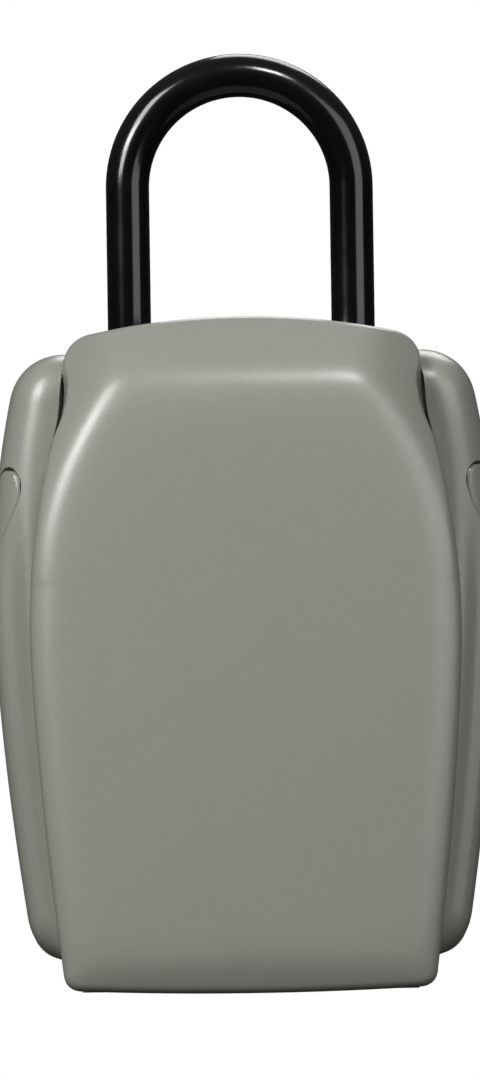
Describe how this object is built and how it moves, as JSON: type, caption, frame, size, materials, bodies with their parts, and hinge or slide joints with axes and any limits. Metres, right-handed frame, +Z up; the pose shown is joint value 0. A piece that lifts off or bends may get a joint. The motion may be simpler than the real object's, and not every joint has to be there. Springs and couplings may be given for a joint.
{
  "type": "key lock box",
  "caption": "Portable key lock box with a coated shackle, a hinged weather cover over code dials and a drop-down door to a key compartment.",
  "frame": {"origin": "middle of the body's footprint, on the plane that the foot rests on", "axes": "+Z up along the shackle legs, -Y out of the front of the weather cover, +X to the right seen from the front"},
  "size_m": [0.101, 0.052, 0.1878],
  "materials": {
    "grey_paint": "satin, fine textured powder coat",
    "button_paint": "satin",
    "black_coat": "glossy black vinyl",
    "steel": "zinc plated",
    "spring_steel": "bright spring steel",
    "dial_black": "matt black acetal",
    "brass": "turned brass",
    "rubber": "matt rubber"
  },
  "bodies": {
    "housing": {"rear_housing": "grey_paint", "back_pad": "rubber", "door_hinge_pin": "steel", "shackle_seals": "rubber", "latch_bridge": "steel", "latch_bridge_screws": "steel", "key_hook": "steel", "left_strike_plate": "steel", "right_strike_plate": "steel", "strike_screws": "steel"},
    "shackle": {"shackle_core": "steel", "shackle_coat": "black_coat"},
    "shackle_latch": {"shackle_latch_plate": "steel"},
    "door": {"door_casing": "grey_paint", "cover_hinge_pin": "steel", "cover_catches": "dial_black", "dial_bezel": "dial_black", "dial_chassis": "steel", "chassis_screws": "steel", "detent_spring": "spring_steel", "gate_bar": "steel", "door_back_plate": "steel", "back_plate_screws": "steel"},
    "left_button": {"left_button": "button_paint", "left_latch_hook": "steel", "left_button_spring": "spring_steel"},
    "right_button": {"right_button": "button_paint", "right_latch_hook": "steel", "right_button_spring": "spring_steel"},
    "dial_1": {"dial_wheel_1": "dial_black", "dial_tumbler_1": "brass"},
    "dial_2": {"dial_wheel_2": "dial_black", "dial_tumbler_2": "brass"},
    "dial_3": {"dial_wheel_3": "dial_black", "dial_tumbler_3": "brass"},
    "dial_4": {"dial_wheel_4": "dial_black", "dial_tumbler_4": "brass"},
    "dial_shaft": {"dial_shaft": "steel", "shaft_return_spring": "spring_steel"},
    "reset_lever": {"reset_lever": "dial_black"},
    "weather_cover": {"weather_cover": "grey_paint"}
  },
  "joints": [
    {"name": "door_hinge", "type": "hinge", "parent": "housing", "child": "door", "pos_m": [0, 0.006, 0.0032], "axis": [1, 0, 0], "range_deg": [0, 100]},
    {"name": "cover_hinge", "type": "hinge", "parent": "door", "child": "weather_cover", "pos_m": [0, -0.012, 0.0032], "axis": [1, 0, 0], "range_deg": [0, 110]},
    {"name": "left_button_press", "type": "slide", "parent": "door", "child": "left_button", "axis": [1, 0, 0], "range_m": [-0.0012, 0.0013], "stiffness_N_per_m": 600},
    {"name": "right_button_press", "type": "slide", "parent": "door", "child": "right_button", "axis": [-1, 0, 0], "range_m": [-0.0012, 0.0013], "stiffness_N_per_m": 600},
    {"name": "dial_1_turn", "type": "hinge", "parent": "door", "child": "dial_1", "pos_m": [-0.0135, -0.0125, 0.086], "axis": [1, 0, 0], "continuous": true},
    {"name": "dial_2_turn", "type": "hinge", "parent": "door", "child": "dial_2", "pos_m": [-0.0045, -0.0125, 0.086], "axis": [1, 0, 0], "continuous": true},
    {"name": "dial_3_turn", "type": "hinge", "parent": "door", "child": "dial_3", "pos_m": [0.0045, -0.0125, 0.086], "axis": [1, 0, 0], "continuous": true},
    {"name": "dial_4_turn", "type": "hinge", "parent": "door", "child": "dial_4", "pos_m": [0.0135, -0.0125, 0.086], "axis": [1, 0, 0], "continuous": true},
    {"name": "reset_slide", "type": "slide", "parent": "door", "child": "reset_lever", "axis": [1, 0, 0], "range_m": [0, 0.002], "stiffness_N_per_m": 500},
    {"name": "shaft_slide", "type": "slide", "parent": "door", "child": "dial_shaft", "axis": [1, 0, 0], "range_m": [0, 0.002]},
    {"name": "shackle_lift", "type": "slide", "parent": "housing", "child": "shackle", "axis": [0, 0, 1], "range_m": [0, 0.04]},
    {"name": "latch_slide", "type": "slide", "parent": "housing", "child": "shackle_latch", "axis": [1, 0, 0], "range_m": [0, 0.004]}
  ],
  "couplings": [
    {"joint": "shaft_slide", "follows": "reset_slide", "ratio": 1}
  ]
}
